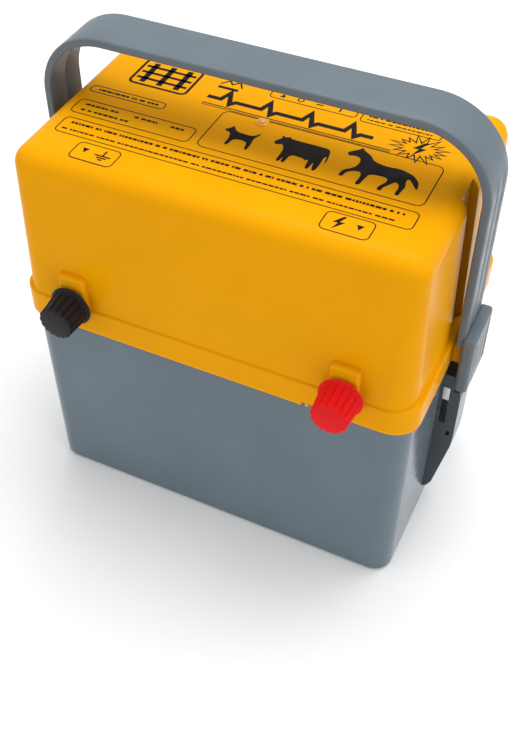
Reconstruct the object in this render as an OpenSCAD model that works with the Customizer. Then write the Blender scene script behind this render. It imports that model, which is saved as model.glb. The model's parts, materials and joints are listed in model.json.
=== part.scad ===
// Battery fence energizer: a grey battery tub, a yellow lid that carries the electronics,
// a swinging carry handle, two screw terminals and a three-position rocker switch.
// Millimetres. X to the right seen from the terminals, terminals towards -Y, Z up,
// origin at the centre of the flat base.

/* [Case] */
// Width over the lid flange
case_w = 240; // [180:1:300]
// Depth over the lid flange
case_d = 151; // [120:1:200]
// Height of the lid top above the base
case_h = 244; // [200:1:300]
// Height of the flange's lower edge above the base
split_z = 133; // [100:1:180]
// Height of the flange band
flange_h = 17.5; // [10:0.5:30]
// How far the flange stands out from the lid wall
flange_out = 3; // [1:0.5:6]
// How far the flange stands out from the lid's front and back walls
flange_step = 1.3; // [1:0.1:6]
// Wall thickness of both mouldings
wall = 2.6; // [2:0.1:4]
// Radius of the upright corners
corner_r = 13; // [6:1:25]
// Radius of the lid's top edges
top_r = 11; // [4:1:20]

// Depth of the channel in each side of the lid, at the top edge
channel_depth = 4.1; // [2:0.1:7]
// Half length of that channel
channel_y = 9.3; // [6:0.1:18]
// How far the channel's floor leans outwards at its foot
channel_lean = 3; // [0:0.5:4]

/* [Tub] */
// How much narrower each side of the base is than the rim
tub_draft = 1.5; // [0:0.5:8]
// Floor thickness
floor_t = 3; // [2:0.5:6]
// Width of each side catch
catch_w = 18; // [10:1:30]

/* [Handle] */
// Height of the handle's top above the base
handle_top = 283.5; // [260:0.5:330]
// Width of the handle band
band_w = 30; // [20:1:45]
// Thickness of the handle band
band_t = 4.6; // [3:0.1:8]
// Outer radius of the handle's bends
bend_r = 40; // [15:1:60]
// Outer half width of the handle
band_x = 126.3; // [122:0.1:140]
// Height of the handle's pivot
pivot_z = 138; // [120:0.5:160]
// Depth of each pivot head
head_d = 35; // [25:1:45]
// Height of each pivot head
head_h = 39; // [25:1:50]

/* [Terminals] */
// Distance of each terminal from the middle
term_x = 81; // [50:1:100]
// Height of the terminals
term_z = 155; // [145:0.5:180]
// Radius of a knob's rim
knob_r = 12.6; // [8:0.5:20]
// Length of a knob
knob_l = 17.5; // [12:0.5:30]
// Radius of a terminal stud
stud_r = 3; // [2:0.5:5]

/* [Switch] */
// Place of the rocker switch along X
switch_x = 12; // [-60:1:60]
// Place of the rocker switch along Y
switch_y = 49; // [30:1:55]

/* [Show] */
// Sub-part to build

/* [Hidden] */
yellow = [1.0, 0.69, 0.0];
slate = [0.42, 0.49, 0.53];
pale_slate = [0.55, 0.62, 0.67];
dark = [0.13, 0.14, 0.15];
red = [0.85, 0.05, 0.05];
metal = [0.75, 0.75, 0.72];
brass = [0.80, 0.62, 0.25];
fn_curve = 64;
fn_hull = 32;
gap = 0.3;

hx = case_w / 2;
hy = case_d / 2;
flange_top = split_z + flange_h;
lid_x = hx - flange_out;
lid_y = hy - flange_step;
top_x = lid_x - 2.5;
top_y = lid_y - 2.7;
rim_x = hx - wall - gap;
rim_y = hy - wall - gap;
rim_z = flange_top - 4.3;
shoulder_z = flange_top - 2;
seal_t = 2;

tray_z = 172;
tray_t = 2.5;
tray_x = top_x - wall - 0.6;
tray_y = top_y - wall - 0.6;
post_x = 96;
post_y = 54;
board_z = 190;
board_t = 1.6;

pad_w = 16.4;
pad_y = hy + 2.4;
pad_in_y = lid_y - 1.5;
pad_z = 147.5;
pad_top = 172;
washer_t = 1.3;
washer_r = 7.8;
washer_y = pad_y + gap;
knob_y = washer_y + washer_t + gap;
stud_in_y = 64;
nut_seat_y = 69;
nut_seat_r = 6.2;
nut_t = 4.5;
insert_r = 5;
barrel_r = knob_r - 1.2;

boss_w = 16.4;
boss_low = 6.5;
boss_high = 7;
boss_end = 124.9;
trunnion_r = 5;
trunnion_end = 129.6;
head_in = boss_end + gap;
head_out = 132.6;

well_w = 25;
well_d = 16;

// ---- shared helpers ----
// Box with upright rounded corners, half sizes x and y, from z0 to z1.
module slab(x, y, r, z0, z1) {
    translate([0, 0, z0]) {
        translate([-x + r, -y, 0]) cube([2 * (x - r), 2 * y, z1 - z0]);
        translate([-x, -y + r, 0]) cube([2 * x, 2 * (y - r), z1 - z0]);
        for (sx = [-1, 1], sy = [-1, 1])
            translate([sx * (x - r), sy * (y - r), 0])
                cylinder(h = z1 - z0, r = r, $fn = fn_curve);
    }
}

// Four thin corner discs, as the end of a hull.
module corner_discs(x, y, r, z) {
    for (sx = [-1, 1], sy = [-1, 1])
        translate([sx * (x - r), sy * (y - r), z]) cylinder(h = 0.01, r = r, $fn = fn_hull);
}

// Drafted lid body with rounded top edges, inset by t all round.
module lid_body(t, z0) {
    r = top_r - t;
    hull() {
        corner_discs(lid_x - t, lid_y - t, corner_r - t, z0);
        for (sx = [-1, 1], sy = [-1, 1])
            translate([sx * (top_x - t - r), sy * (top_y - t - r), case_h - t - r])
                sphere(r = r, $fn = 40);
    }
}

// Distance from the middle to the floor of the lid's side channel at height z.
function channel_floor(z) =
    top_x - channel_depth + channel_lean * (case_h - z) / (case_h - flange_top);

// The channel in each side of the lid, made larger by t all round.
module side_channels(t, z0, z1) {
    for (sx = [-1, 1]) scale([sx, 1, 1])
        translate([0, channel_y + t, 0]) rotate([90, 0, 0])
            linear_extrude(height = 2 * (channel_y + t))
                polygon([[channel_floor(z0) - t, z0], [hx + 1, z0],
                    [hx + 1, z1], [channel_floor(z1) - t, z1]]);
}

// A cylinder that runs towards -Y from y = -y0 to y = -y1.
module front_rod(r, y0, y1, r2 = -1, n = fn_curve) {
    translate([0, -y0, 0]) rotate([90, 0, 0])
        cylinder(h = y1 - y0, r1 = r, r2 = (r2 < 0 ? r : r2), $fn = n);
}

// Places the children at a terminal: side -1 is earth, 1 is fence.
module at_terminal(side) {
    translate([side * term_x, 0, term_z]) children();
}

// ---- tub ----
base_chamfer = 2.5;

// Half width of the drafted tub at height z.
function tub_side(z) = rim_x - tub_draft * (rim_z - z) / (rim_z - base_chamfer);

module catch_profile() {
    difference() {
        polygon([[tub_side(17), 17], [118.5, 19], [121, 24], [128.4, 62], [129, 70],
            [129, 106], [128, 108.5], [124.6, 108.5], [124.6, 121], [tub_side(121), 121]]);
        polygon([[118.6, 81], [122.4, 81], [122.4, 110.5], [118.6, 110.5]]);
        polygon([[124.2, 71], [126.4, 71], [126.4, 75], [125.2, 75], [124.2, 73.5]]);
    }
}

module tub() {
    color(slate) difference() {
        hull() {
            corner_discs(rim_x - tub_draft - 2, rim_y - tub_draft - 2, corner_r - 4, 0);
            corner_discs(rim_x - tub_draft, rim_y - tub_draft, corner_r - 2, base_chamfer);
            corner_discs(rim_x, rim_y, corner_r - 2, rim_z);
        }
        hull() {
            corner_discs(rim_x - tub_draft - wall, rim_y - tub_draft - wall,
                corner_r - 4.6, floor_t);
            corner_discs(rim_x - wall, rim_y - wall, corner_r - 4.6, rim_z + 1);
        }
    }
}

module side_catches() {
    color(pale_slate) for (sx = [-1, 1]) scale([sx, 1, 1])
        translate([0, catch_w / 2, 0]) rotate([90, 0, 0])
            linear_extrude(height = catch_w) catch_profile();
}

// ---- lid ----
module trunnion() {
    translate([hx - wall, -boss_w / 2, pivot_z - boss_low])
        cube([boss_end - hx + wall, boss_w, boss_low + boss_high]);
    translate([hx - wall, 0, pivot_z]) rotate([0, 90, 0])
        cylinder(h = trunnion_end - hx + wall, r = trunnion_r, $fn = fn_curve);
}

// The pad's lower part stops at the flange wall, to leave room for the tub's rim.
module terminal_pad() {
    translate([-pad_w / 2, -pad_y, pad_z]) cube([pad_w, pad_y - hy + wall, pad_top - pad_z]);
    translate([-pad_w / 2, -pad_y, shoulder_z])
        cube([pad_w, pad_y - pad_in_y, pad_top - shoulder_z]);
    translate([-pad_w / 2, 0, 0]) rotate([90, 0, 90])
        linear_extrude(height = pad_w)
            polygon([[-pad_y, pad_top - 0.1], [-pad_in_y, pad_top - 0.1],
                [-pad_in_y, pad_top + 2.6], [-pad_y + 2, pad_top + 2.2]]);
}

module lid_shell() {
    color(yellow) difference() {
        union() {
            difference() {
                union() {
                    lid_body(0, flange_top - 0.5);
                    slab(hx, hy, corner_r + 1, split_z, flange_top);
                }
                difference() {
                    lid_body(wall, split_z - 20);
                    side_channels(wall, flange_top - 3, case_h);
                }
                slab(hx - wall, hy - wall, corner_r - 1.6, split_z - 1, shoulder_z);
                side_channels(0, flange_top, case_h + 1);
            }
            for (sx = [-1, 1]) scale([sx, 1, 1]) trunnion();
            for (s = [-1, 1]) translate([s * term_x, 0, 0]) terminal_pad();
            for (s = [-1, 1]) at_terminal(s) front_rod(nut_seat_r, nut_seat_y, 73);
            for (sx = [-1, 1], sy = [-1, 1])
                translate([sx * post_x, sy * post_y, tray_z + tray_t])
                    cylinder(h = case_h - 2 - tray_z - tray_t, r = 4.5, $fn = 32);
        }
        for (s = [-1, 1]) at_terminal(s) front_rod(stud_r + 0.1, 60, 90);
        for (sx = [-1, 1], sy = [-1, 1])
            translate([sx * post_x, sy * post_y, tray_z])
                cylinder(h = 16, r = 1.6, $fn = 24);
        translate([switch_x - well_w / 2, switch_y - well_d / 2, case_h - 5])
            cube([well_w, well_d, 10]);
        translate([-4, 7, case_h - 5]) cylinder(h = 10, r = 3.1, $fn = 32);
        for (x = [57.5, 61.5])
            translate([x, -hy - 1, split_z - 1]) cube([2.4, 2.4, 4]);
    }
}

module gasket() {
    color(dark) difference() {
        slab(hx - wall - 0.2, hy - wall - 0.2, corner_r - 1.6, shoulder_z - seal_t, shoulder_z);
        slab(rim_x - wall, rim_y - wall, corner_r - 4.6, shoulder_z - 3, shoulder_z + 1);
    }
}

// Flat blade for the battery lead, from height z, h long.
module tab_at(s, z, h) {
    translate([s * 12 - 3.15, 58, z]) cube([6.3, 0.8, h]);
}

module inner_tray() {
    color(dark) difference() {
        union() {
            slab(tray_x - 8, tray_y, 9, tray_z, tray_z + tray_t);
            difference() {
                slab(tray_x - 8, tray_y, 9, tray_z, tray_z + 7);
                slab(tray_x - 10, tray_y - 2, 8, tray_z - 1, tray_z + 8);
            }
        }
        for (sx = [-1, 1], sy = [-1, 1])
            translate([sx * post_x, sy * post_y, tray_z - 1]) {
                cylinder(h = 5, r = 2.1, $fn = 32);
                translate([0, 0, tray_t + 1]) cylinder(h = 8, r = 5.2, $fn = 32);
            }
        for (s = [-1, 1]) {
            translate([s * term_x - 5, -tray_y + 3, tray_z - 1]) cube([10, 4, 10]);
            tab_at(s, tray_z - 1, tray_t + 2);
        }
    }
}

module screw_at(x, y, z, head_r, shank_r, l) {
    translate([x, y, z]) {
        cylinder(h = l, r = shank_r, $fn = 24);
        translate([0, 0, -1.8]) difference() {
            cylinder(h = 1.8, r = head_r, $fn = 32);
            translate([-head_r * 0.6, -0.4, -0.1]) cube([head_r * 1.2, 0.8, 1]);
            translate([-0.4, -head_r * 0.6, -0.1]) cube([0.8, head_r * 1.2, 1]);
        }
    }
}

module tray_screws() {
    color(metal) for (sx = [-1, 1], sy = [-1, 1])
        screw_at(sx * post_x, sy * post_y, tray_z, 3.6, 1.6, 15);
}

// ---- electronics ----
board_x = 76;
board_y = 50;
pillar_x = 70;
pillar_y = 44;

module circuit_board() {
    color([0.10, 0.35, 0.18]) difference() {
        translate([-board_x, -board_y, board_z]) cube([2 * board_x, 2 * board_y, board_t]);
        for (sx = [-1, 1], sy = [-1, 1])
            translate([sx * pillar_x, sy * pillar_y, board_z - 1])
                cylinder(h = 4, r = 1.7, $fn = 24);
    }
}

module board_pillars() {
    color(dark) for (sx = [-1, 1], sy = [-1, 1])
        translate([sx * pillar_x, sy * pillar_y, tray_z + tray_t]) difference() {
            cylinder(h = board_z - tray_z - tray_t, r = 3.5, $fn = 32);
            translate([0, 0, 6]) cylinder(h = 20, r = 1.5, $fn = 24);
        }
}

module board_screws() {
    color(metal) for (sx = [-1, 1], sy = [-1, 1])
        translate([sx * pillar_x, sy * pillar_y, board_z + board_t]) rotate([180, 0, 0])
            screw_at(0, 0, 0, 3, 1.5, 9);
}

module transformer_core() {
    color([0.35, 0.35, 0.37]) translate([-50, 2, board_z + board_t]) difference() {
        translate([-22, -18, 0]) cube([44, 36, 38]);
        for (s = [-1, 1]) translate([s * 11 - 5, -19, 6]) cube([10, 38, 26]);
    }
}

module transformer_coil() {
    color([0.70, 0.42, 0.20]) translate([-50, 2, board_z + board_t + 6.3]) difference() {
        union() {
            translate([-15.6, -13, 0]) cube([31.2, 26, 25.4]);
            translate([-8, -25, 2]) cube([16, 50, 21.4]);
        }
        translate([-6.2, -18.2, -1]) cube([12.4, 36.4, 28]);
    }
}

module storage_capacitor() {
    color([0.15, 0.20, 0.45]) translate([10, -18, board_z + board_t]) {
        cylinder(h = 38, r = 15, $fn = fn_curve);
        translate([0, 0, 38]) cylinder(h = 1, r = 12.5, $fn = fn_curve);
    }
}

module board_parts() {
    z = board_z + board_t;
    color(dark) {
        translate([44, -30, z]) cube([16, 4, 22]);
        translate([40, -12, z]) cube([18, 14, 8]);
        translate([38, 12, z]) cylinder(h = 14, r = 6, $fn = 32);
        translate([56, 14, z]) cylinder(h = 14, r = 6, $fn = 32);
        translate([-14, 22, z]) cube([12, 8, 6]);
        translate([-4, 7, z]) cylinder(h = 40, r = 2.5, $fn = 32);
    }
}

module indicator_lens() {
    color([0.9, 0.1, 0.05, 0.7]) translate([-4, 7, 0]) {
        translate([0, 0, case_h - 10]) cylinder(h = 10, r = 2.9, $fn = 32);
        translate([0, 0, case_h]) cylinder(h = 1.2, r = 3.6, $fn = 32);
        translate([0, 0, case_h + 1.2]) cylinder(h = 0.7, r1 = 3.4, r2 = 2.2, $fn = 32);
    }
}

// ---- switch ----
rocker_w = 19;
rocker_d = 10;
rocker_z = case_h - 3;

module switch_housing() {
    color(dark) translate([switch_x, switch_y, 0]) difference() {
        union() {
            translate([-well_w / 2 + 0.1, -well_d / 2 + 0.1, case_h - 20])
                cube([well_w - 0.2, well_d - 0.2, 20]);
            translate([-well_w / 2 - 1.5, -well_d / 2 - 1.5, case_h])
                cube([well_w + 3, well_d + 3, 1.4]);
        }
        translate([-rocker_w / 2 - 1.3, -rocker_d / 2 - 0.4, case_h - 12])
            cube([rocker_w + 2.6, rocker_d + 0.8, 20]);
        translate([0, -rocker_d / 2 - 1.8, rocker_z]) rotate([-90, 0, 0])
            cylinder(h = rocker_d + 3.6, r = 1.55, $fn = 32);
    }
}

module switch_rocker() {
    color(dark) translate([switch_x, switch_y, rocker_z]) {
        translate([0, rocker_d / 2, 0]) rotate([90, 0, 0])
            linear_extrude(height = rocker_d)
                polygon([[-9.3, -2], [-6, -5.5], [6, -5.5], [9.3, -2],
                    [9.4, 5.2], [4, 3.4], [0, 2.9], [-4, 3.4], [-9.4, 5.2]]);
        translate([0, -rocker_d / 2 - 1.6, 0]) rotate([-90, 0, 0])
            cylinder(h = rocker_d + 3.2, r = 1.5, $fn = 32);
    }
}

// ---- terminals ----
module stud() {
    front_rod(stud_r, stud_in_y, knob_y + 12.6);
}

module stud_earth() {
    color(metal) at_terminal(-1) stud();
}

module stud_fence() {
    color(metal) at_terminal(1) stud();
}

module terminal_nuts() {
    color(metal) for (s = [-1, 1]) at_terminal(s) difference() {
        front_rod(5.77, nut_seat_y - nut_t, nut_seat_y - 0.8, n = 6);
        front_rod(stud_r, nut_seat_y - nut_t - 1, nut_seat_y + 1);
    }
}

// Flat strap from the stud up through the tray to the board's front edge.
module strap() {
    difference() {
        union() {
            translate([-4, -nut_seat_y, -6]) cube([8, 0.8, tray_z - term_z + 5]);
            translate([-4, -nut_seat_y, tray_z - term_z - 1.8])
                cube([8, nut_seat_y - tray_y + 5, 0.8]);
            translate([-4, -tray_y + 4.2, tray_z - term_z - 1.8])
                cube([8, 0.8, board_z - tray_z + 3.4]);
            translate([-4, -tray_y + 4.2, board_z - term_z + board_t])
                cube([8, tray_y - board_y, 0.8]);
        }
        front_rod(stud_r, 60, 80);
    }
}

module strap_earth() {
    color(brass) at_terminal(-1) strap();
}

module strap_fence() {
    color(brass) at_terminal(1) strap();
}

module clamp_washer() {
    difference() {
        front_rod(washer_r, washer_y, washer_y + washer_t);
        front_rod(stud_r + 0.2, washer_y - 1, washer_y + washer_t + 1);
    }
}

module washer_earth() {
    color(metal) at_terminal(-1) clamp_washer();
}

module washer_fence() {
    color(metal) at_terminal(1) clamp_washer();
}

module knob() {
    difference() {
        rotate([90, 0, 0]) rotate_extrude($fn = 96)
            polygon([[insert_r, knob_y], [knob_r, knob_y], [knob_r, knob_y + 1.2],
                [knob_r - 0.5, knob_y + 1.8], [barrel_r, knob_y + 2.2],
                [barrel_r - 0.8, knob_y + knob_l - 0.8], [barrel_r - 1.6, knob_y + knob_l],
                [0, knob_y + knob_l], [0, knob_y + 13.2], [insert_r, knob_y + 13.2]]);
        for (i = [0:15]) rotate([0, i * 22.5, 0])
            translate([barrel_r + 0.2, 0, 0]) front_rod(1.6, knob_y + 2.6, knob_y + knob_l + 1);
    }
}

module knob_earth() {
    color(dark) at_terminal(-1) knob();
}

module knob_fence() {
    color(red) at_terminal(1) knob();
}

module insert() {
    difference() {
        front_rod(insert_r, knob_y + 0.2, knob_y + 13.2);
        front_rod(stud_r + 0.05, knob_y - 1, knob_y + 14);
    }
}

module insert_earth() {
    color(brass) at_terminal(-1) insert();
}

module insert_fence() {
    color(brass) at_terminal(1) insert();
}

module battery_tabs() {
    color(brass) for (s = [-1, 1]) tab_at(s, tray_z - 8, 16);
}

// ---- handle ----
module handle_outline(x, z, r) {
    translate([-x + r, 150]) square([2 * (x - r), z - 150]);
    translate([-x, 150]) square([2 * x, z - r - 150]);
    for (s = [-1, 1]) translate([s * (x - r), z - r]) circle(r = r, $fn = 96);
}

module head_profile() {
    translate([head_in, pivot_z - head_h / 2 + 3]) square([head_out - head_in, head_h - 4]);
    translate([head_in + 1.5, pivot_z - head_h / 2]) square([head_out - head_in - 4, 4]);
    translate([head_out - 2.5, pivot_z - head_h / 2 + 3]) circle(r = 2.5, $fn = 32);
    translate([head_in, pivot_z + head_h / 2 - 2]) square([head_out - head_in - 1, 2]);
}

module handle() {
    color(pale_slate) {
        translate([0, band_w / 2, 0]) rotate([90, 0, 0]) linear_extrude(height = band_w)
            difference() {
                handle_outline(band_x, handle_top, bend_r);
                translate([0, -1]) handle_outline(band_x - band_t, handle_top - band_t + 1,
                    bend_r - band_t);
            }
        for (sx = [-1, 1]) scale([sx, 1, 1]) difference() {
            translate([0, head_d / 2, 0]) rotate([90, 0, 0])
                linear_extrude(height = head_d) head_profile();
            translate([head_in - 1, 0, pivot_z]) rotate([0, 90, 0])
                cylinder(h = trunnion_end + 0.3 - head_in + 1, r = trunnion_r + 0.06,
                    $fn = fn_curve);
        }
    }
}

// ---- build ----
tub();
side_catches();
lid_shell();
gasket();
inner_tray();
tray_screws();
circuit_board();
board_pillars();
board_screws();
transformer_core();
transformer_coil();
storage_capacitor();
board_parts();
indicator_lens();
switch_housing();
switch_rocker();
stud_earth();
stud_fence();
terminal_nuts();
strap_earth();
strap_fence();
washer_earth();
washer_fence();
knob_earth();
knob_fence();
insert_earth();
insert_fence();
battery_tabs();
handle();
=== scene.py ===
"""Looks of the fence energizer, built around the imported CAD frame.

Sizes are in millimetres in the row frame. They become metres where a mesh is made.
"""

import json
import math
import random

import bmesh
import bpy
from mathutils import Matrix, Vector
from mathutils.geometry import tessellate_polygon


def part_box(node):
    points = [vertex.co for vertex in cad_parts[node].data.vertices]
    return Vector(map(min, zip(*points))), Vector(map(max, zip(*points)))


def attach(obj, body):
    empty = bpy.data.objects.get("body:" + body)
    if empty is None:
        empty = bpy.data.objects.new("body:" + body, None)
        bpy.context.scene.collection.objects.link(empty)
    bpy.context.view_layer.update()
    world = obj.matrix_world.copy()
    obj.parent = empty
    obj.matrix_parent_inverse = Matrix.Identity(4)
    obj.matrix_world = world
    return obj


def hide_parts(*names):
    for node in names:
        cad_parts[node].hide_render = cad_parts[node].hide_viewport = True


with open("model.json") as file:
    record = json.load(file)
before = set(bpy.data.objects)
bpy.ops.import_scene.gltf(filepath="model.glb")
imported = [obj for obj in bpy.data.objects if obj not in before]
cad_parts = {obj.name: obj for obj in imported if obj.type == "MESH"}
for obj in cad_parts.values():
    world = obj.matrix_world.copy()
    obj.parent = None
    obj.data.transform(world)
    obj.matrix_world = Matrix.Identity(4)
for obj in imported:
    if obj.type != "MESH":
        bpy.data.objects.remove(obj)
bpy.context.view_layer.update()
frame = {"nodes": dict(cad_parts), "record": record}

MM = 0.001
RNG = random.Random(7)

# ---- driving dimensions, mm ----
# Lid: the flange is the band round its foot, and the top's edge is rounded by TOP_R.
TOP_Z = 244.0
SPLIT_Z = 133.0
FLANGE_TOP = 150.5
SHOULDER_Z = 148.5
FLANGE_X, FLANGE_Y = 120.0, 75.5
LID_X, LID_Y = 117.0, 74.2
TOP_X, TOP_Y = 114.5, 71.5
TOP_R = 11.0
WALL = 2.6
CORE_X, CORE_Y = TOP_X - TOP_R, TOP_Y - TOP_R
ARC_Z = TOP_Z - TOP_R

# A channel in each side, whose floor leans out towards the flange.
CHANNEL_Y = 9.3
CHANNEL_TOP_X = 110.4
CHANNEL_LEAN = 3.0

# Two notches in the lid's lower front edge.
NOTCHES = (57.5, 61.5)
NOTCH_W, NOTCH_D, NOTCH_H = 2.4, 2.1, 3.0

# The switch's opening (x0, x1, y0, y1) and the lamp's place (x, y) in the top.
WELL = (-0.5, 24.5, 41.0, 57.0)
LENS = (-4.0, 7.0)

# Tub: its rim is inside the lid, and it narrows by TUB_DRAFT down to the base.
RIM_X, RIM_Y, RIM_Z = 117.1, 72.6, 146.2
RIM_ROUND = 13.0
TUB_DRAFT = 1.5
FOOT_R = 3.0

# Terminals: all turn round the line x = +-TERM_X, z = TERM_Z. Depths are along -Y.
TERM_X, TERM_Z = 81.0, 155.0
PAD_W, PAD_Y = 16.4, 77.9
PAD_Z0, PAD_Z1 = 147.5, 173.2
PAD_BORE_R = 3.1
WASHER_Y0, WASHER_Y1 = 78.2, 79.5
WASHER_R, WASHER_BORE_R = 7.8, 3.2
KNOB_Y0, KNOB_Y1 = 79.8, 97.3
KNOB_R, KNOB_BORE_R, KNOB_BORE_Y = 12.6, 5.05, 93.0
RIBS = 16
STUD_Y0, STUD_Y1 = 64.0, 92.3
STUD_R, THREAD_D, THREAD_PITCH = 2.93, 0.42, 1.0

# Handle: a flat band with a head at each end, on the lid's two trunnions.
PIVOT_Z = 138.0
BAND_X, BAND_T, BAND_W = 126.3, 4.6, 30.0
BEND_R = 40.0
HANDLE_TOP = 283.5
ARM_Z0 = 150.0
HEAD_X0, HEAD_X1 = 125.2, 132.6
HEAD_D, HEAD_Z0, HEAD_Z1 = 35.0, 118.5, 157.5
HEAD_LINES = (-10.0, -3.4, 3.4, 10.0)
BOSS_X0, BOSS_X1 = 118.5, 124.9
BOSS_W, BOSS_LOW, BOSS_HIGH = 16.4, 6.5, 7.0
PIN_X0, PIN_X1, PIN_R = 120.0, 129.4, 5.0

# Camera, in metres and radians.
CAMERA_TURN, CAMERA_TILT, CAMERA_ROLL = 0.4612623, 0.8003617, -0.0158008
CAMERA_PLACE = (0.1994881, -0.4331582, 0.5652789)
CAMERA_LENS = 51.689
CAMERA_SHIFT = (0.0283, -0.0225)


# ---- camera, floor and light ----
def make_camera():
    """Looks down at the front and the right side."""
    az, el, roll = CAMERA_TURN, CAMERA_TILT, CAMERA_ROLL
    forward = Vector((-math.sin(az) * math.cos(el), math.cos(az) * math.cos(el), -math.sin(el)))
    right = forward.cross(Vector((0, 0, 1))).normalized()
    up = right.cross(forward)
    x = math.cos(roll) * right + math.sin(roll) * up
    y = -math.sin(roll) * right + math.cos(roll) * up
    data = bpy.data.cameras.new("camera")
    data.sensor_fit = "AUTO"
    data.sensor_width = 36
    data.lens = CAMERA_LENS
    data.shift_x, data.shift_y = CAMERA_SHIFT
    data.clip_start = 0.01
    cam = bpy.data.objects.new("camera", data)
    cam.matrix_world = Matrix((x, y, -forward)).transposed().to_4x4()
    cam.location = CAMERA_PLACE
    bpy.context.scene.collection.objects.link(cam)
    bpy.context.scene.camera = cam


def area_light(name, place, target, size, power):
    data = bpy.data.lights.new(name, "AREA")
    data.shape = "RECTANGLE"
    data.size, data.size_y = size
    data.energy = power
    lamp = bpy.data.objects.new(name, data)
    lamp.location = place
    aim = Vector(target) - Vector(place)
    lamp.rotation_euler = aim.to_track_quat("-Z", "Y").to_euler()
    bpy.context.scene.collection.objects.link(lamp)


def make_studio():
    world = bpy.data.worlds.new("studio")
    world.use_nodes = True
    back = world.node_tree.nodes["Background"]
    back.inputs["Color"].default_value = (1, 1, 1, 1)
    back.inputs["Strength"].default_value = 0.78
    bpy.context.scene.world = world
    bpy.context.scene.view_settings.view_transform = "Standard"
    middle = (0, 0, 0.15)
    area_light("overhead", (0.1, 0.45, 1.5), middle, (1.3, 0.9), 15.5)
    area_light("key", (1.2, -0.3, 1.1), middle, (0.9, 0.9), 3)
    area_light("fill", (-1.1, -1.1, 0.8), middle, (0.9, 0.9), 2)


# ---- materials ----
BASE = {m["slot"]: m["base_color"] for m in frame["record"]["materials"]}


class Nodes:
    """Short helpers for one material's node tree."""

    def __init__(self, name):
        self.mat = bpy.data.materials.new(name)
        self.mat.use_nodes = True
        self.tree = self.mat.node_tree
        self.shader = self.tree.nodes["Principled BSDF"]
        self.coords = self.tree.nodes.new("ShaderNodeTexCoord").outputs["Object"]

    def link(self, a, b):
        self.tree.links.new(a, b)

    def noise(self, scale, detail=3.0, stretch=(1, 1, 1)):
        """Fine grain: scale is in features per metre."""
        mapping = self.tree.nodes.new("ShaderNodeMapping")
        mapping.inputs["Scale"].default_value = stretch
        self.link(self.coords, mapping.inputs["Vector"])
        n = self.tree.nodes.new("ShaderNodeTexNoise")
        n.inputs["Scale"].default_value = scale
        n.inputs["Detail"].default_value = detail
        self.link(mapping.outputs["Vector"], n.inputs["Vector"])
        return n.outputs["Fac"]

    def ramp(self, value, low, high):
        """Spreads the usual range of a noise over low..high."""
        n = self.tree.nodes.new("ShaderNodeMapRange")
        n.inputs["From Min"].default_value = 0.3
        n.inputs["From Max"].default_value = 0.7
        n.inputs["To Min"].default_value = low
        n.inputs["To Max"].default_value = high
        self.link(value, n.inputs["Value"])
        return n.outputs["Result"]

    def add(self, a, b):
        n = self.tree.nodes.new("ShaderNodeMath")
        self.link(a, n.inputs[0])
        self.link(b, n.inputs[1])
        return n.outputs["Value"]

    def mix_colours(self, factor, dark, light):
        n = self.tree.nodes.new("ShaderNodeMix")
        n.data_type = "RGBA"
        self.link(factor, n.inputs[0])
        for socket, colour in ((n.inputs[6], dark), (n.inputs[7], light)):
            if isinstance(colour, bpy.types.NodeSocket):
                self.link(colour, socket)
            else:
                socket.default_value = (*colour, 1)
        return n.outputs[2]

    def edges(self):
        """Up to 0.35 on worn outer edges, 0 elsewhere."""
        geometry = self.tree.nodes.new("ShaderNodeNewGeometry")
        n = self.tree.nodes.new("ShaderNodeMapRange")
        n.inputs["From Min"].default_value = 0.53
        n.inputs["From Max"].default_value = 0.62
        n.inputs["To Max"].default_value = 0.35
        self.link(geometry.outputs["Pointiness"], n.inputs["Value"])
        return n.outputs["Result"]

    def bump(self, layers):
        """layers is a list of (height, strength, distance in metres)."""
        normal = None
        for height, strength, distance in layers:
            n = self.tree.nodes.new("ShaderNodeBump")
            n.inputs["Strength"].default_value = strength
            n.inputs["Distance"].default_value = distance
            self.link(height, n.inputs["Height"])
            if normal is not None:
                self.link(normal, n.inputs["Normal"])
            normal = n.outputs["Normal"]
        self.link(normal, self.shader.inputs["Normal"])


def scaled(colour, k):
    return tuple(min(1.0, c * k) for c in colour)


def moulded_plastic(name, base, rough=0.22, peel=0.12, wave=0.25, gloss=0.25, change=0.06):
    """Moulded plastic: slight colour drift, hair scratches, orange peel and broad waves."""
    m = Nodes(name)
    drift = m.mix_colours(m.ramp(m.noise(22), 0, 1), scaled(base, 1 - change),
                          scaled(base, 1 + change))
    worn = m.mix_colours(m.edges(), drift, scaled(tuple(c + 0.03 for c in base), 1.25))
    m.link(worn, m.shader.inputs["Base Color"])
    scratches = m.ramp(m.noise(420, 2, (0.06, 1, 1)), -0.01, 0.025)
    m.link(m.add(m.ramp(m.noise(140), rough * 0.8, rough * 1.2), scratches),
           m.shader.inputs["Roughness"])
    m.shader.inputs["Specular IOR Level"].default_value = gloss
    m.bump([(m.noise(26, 1), wave, 0.0006), (m.noise(950, 2), peel, 0.00008)])
    return m.mat


def plain_metal(name, base, rough=0.28, turned=False):
    """Plated or drawn metal with fine lines and dull patches."""
    m = Nodes(name)
    m.shader.inputs["Metallic"].default_value = 1.0
    tone = m.mix_colours(m.ramp(m.noise(90), 0, 1), scaled(base, 0.82), scaled(base, 1.08))
    m.link(tone, m.shader.inputs["Base Color"])
    grain = (1, 0.03, 1) if turned else (0.05, 1, 1)
    m.link(m.ramp(m.noise(1600, 2, grain), rough * 0.7, rough * 1.4),
           m.shader.inputs["Roughness"])
    m.bump([(m.noise(2200, 2, grain), 0.12, 0.00003)])
    return m.mat


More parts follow.
